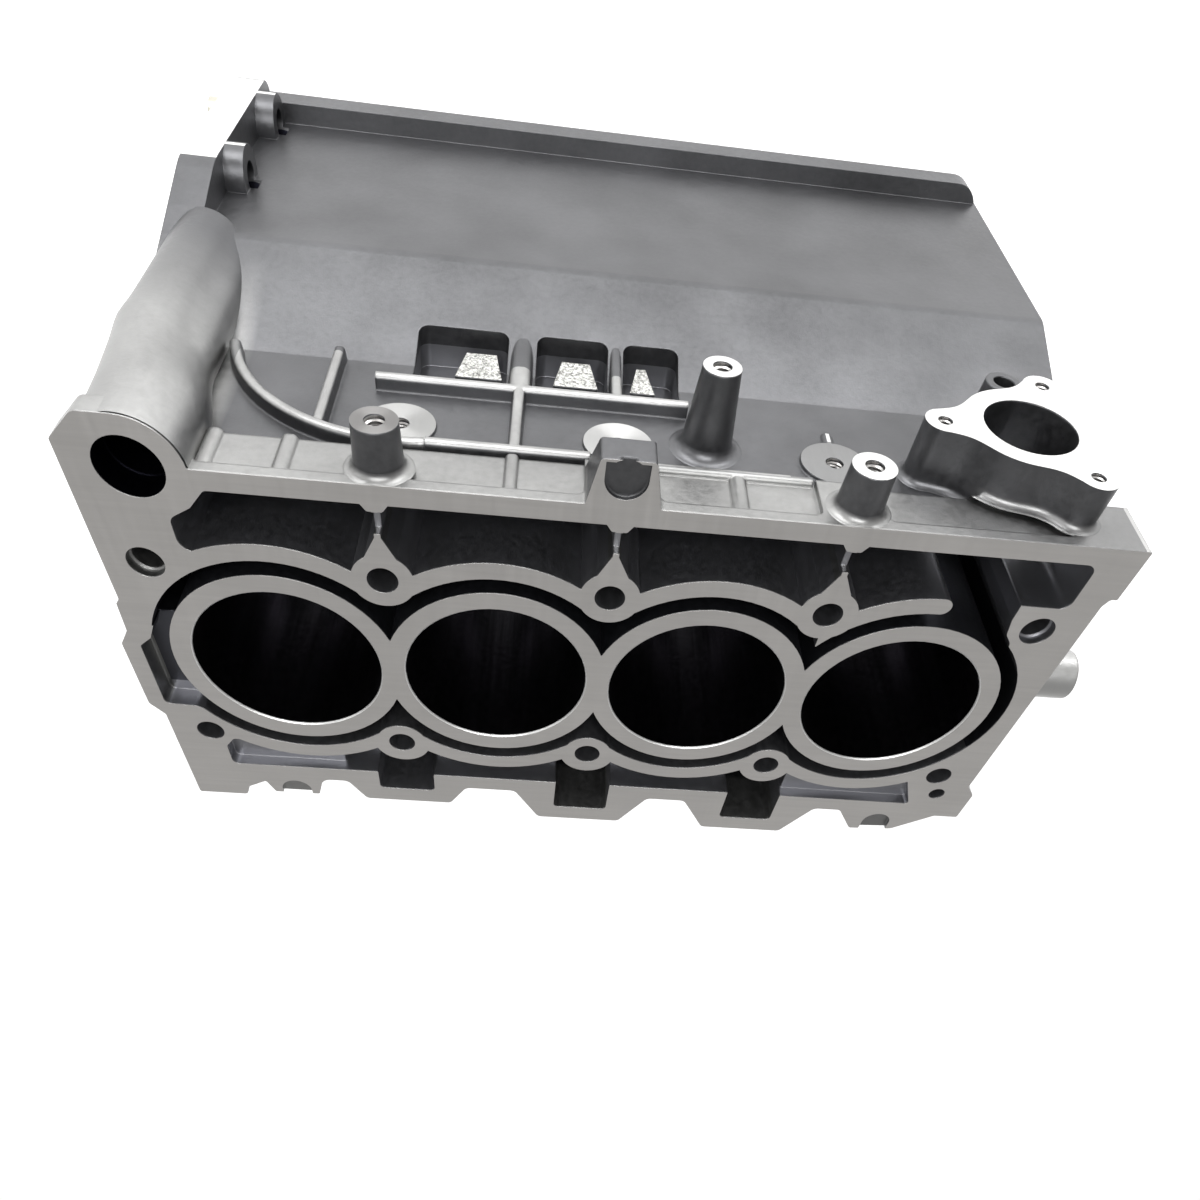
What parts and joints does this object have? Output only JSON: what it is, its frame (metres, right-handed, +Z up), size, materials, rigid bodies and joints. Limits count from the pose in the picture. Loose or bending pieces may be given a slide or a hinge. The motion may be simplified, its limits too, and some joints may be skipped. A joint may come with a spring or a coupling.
{
  "type": "engine block",
  "caption": "Open-deck in-line engine block with scalloped water jacket, side pockets, ribbed side wall and pump flange, with main bearing caps.",
  "frame": {"origin": "on the crankshaft axis, half way between cylinders 2 and 3", "axes": "+X along the crankshaft towards the gearbox, +Z up the cylinders, the ribbed side wall faces -Y"},
  "size_m": [0.3885, 0.22, 0.268],
  "materials": {
    "casting": "as cast, machined on its faces",
    "cap_iron": "machined",
    "bolt_steel": "phosphated",
    "plug_steel": "zinc plated"
  },
  "bodies": {
    "root": {"block_casting": "casting", "main_cap_1": "cap_iron", "cap_bolt_1_left": "bolt_steel", "cap_bolt_1_right": "bolt_steel", "main_cap_2": "cap_iron", "cap_bolt_2_left": "bolt_steel", "cap_bolt_2_right": "bolt_steel", "main_cap_3": "cap_iron", "cap_bolt_3_left": "bolt_steel", "cap_bolt_3_right": "bolt_steel", "main_cap_4": "cap_iron", "cap_bolt_4_left": "bolt_steel", "cap_bolt_4_right": "bolt_steel", "main_cap_5": "cap_iron", "cap_bolt_5_left": "bolt_steel", "cap_bolt_5_right": "bolt_steel", "gallery_plug_pump_end": "plug_steel", "gallery_plug_gearbox_end": "plug_steel", "gearbox_dowel_front": "plug_steel", "gearbox_dowel_rear": "plug_steel"}
  },
  "joints": []
}
